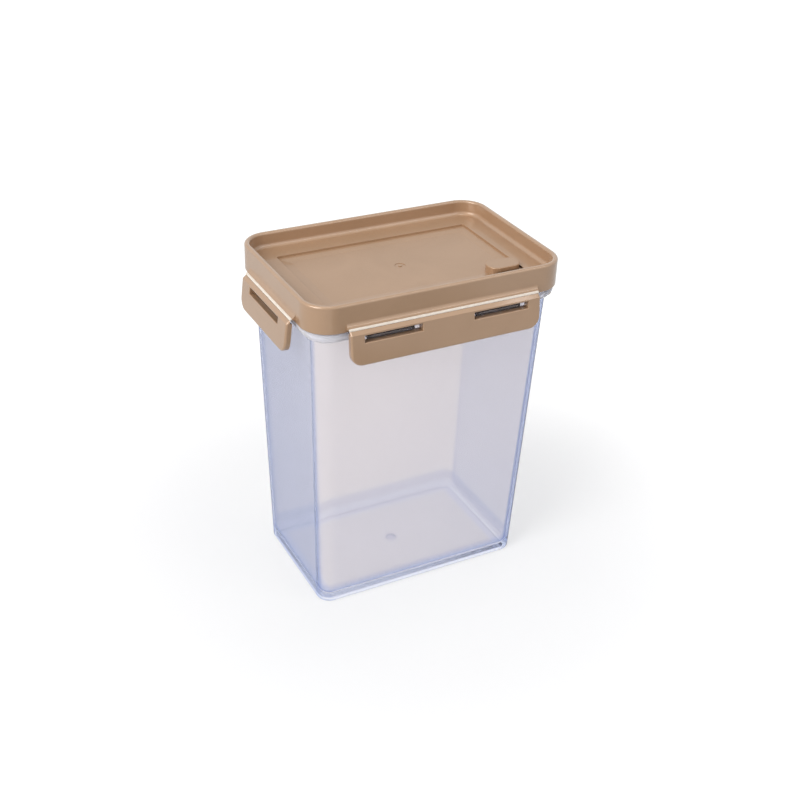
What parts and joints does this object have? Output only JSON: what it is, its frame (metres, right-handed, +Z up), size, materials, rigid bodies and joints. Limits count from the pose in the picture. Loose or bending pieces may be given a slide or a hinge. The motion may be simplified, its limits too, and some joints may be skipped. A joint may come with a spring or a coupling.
{
  "type": "airtight food storage container",
  "caption": "Tall rectangular see-through food storage container whose recessed lid seals on a silicone ring and is locked by hinged flaps on its sides.",
  "frame": {"origin": "middle of the foot, on the surface that the container stands on", "axes": "+Z up, +X along the long sides to the right as seen from the front, the front long side faces -Y"},
  "size_m": [0.161, 0.1126, 0.193],
  "materials": {
    "tub_clear_plastic": "slightly frosted clear polypropylene",
    "lid_plastic": "glossy tan polypropylene with a faint pearl",
    "seal_silicone": "translucent white silicone",
    "film_plastic": "tan polypropylene whitened by flexing"
  },
  "bodies": {
    "container": {"tub": "tub_clear_plastic"},
    "lid": {"lid": "lid_plastic", "seal_ring": "seal_silicone", "film_hinge_front": "film_plastic", "film_hinge_back": "film_plastic", "film_hinge_left": "film_plastic", "film_hinge_right": "film_plastic"},
    "flap_front": {"locking_flap_front": "lid_plastic"},
    "flap_back": {"locking_flap_back": "lid_plastic"},
    "flap_left": {"locking_flap_left": "lid_plastic"},
    "flap_right": {"locking_flap_right": "lid_plastic"}
  },
  "joints": [
    {"name": "lid_lift", "type": "slide", "parent": "container", "child": "lid", "axis": [0, 0, 1], "range_m": [0, 0.1]},
    {"name": "flap_front_hinge", "type": "hinge", "parent": "lid", "child": "flap_front", "pos_m": [0, -0.0524, 0.1801], "axis": [-1, 0, 0], "range_deg": [0, 150]},
    {"name": "flap_back_hinge", "type": "hinge", "parent": "lid", "child": "flap_back", "pos_m": [0, 0.0524, 0.1801], "axis": [1, 0, 0], "range_deg": [0, 150]},
    {"name": "flap_left_hinge", "type": "hinge", "parent": "lid", "child": "flap_left", "pos_m": [-0.0766, 0, 0.1801], "axis": [0, 1, 0], "range_deg": [0, 150]},
    {"name": "flap_right_hinge", "type": "hinge", "parent": "lid", "child": "flap_right", "pos_m": [0.0766, 0, 0.1801], "axis": [0, -1, 0], "range_deg": [0, 150]}
  ]
}
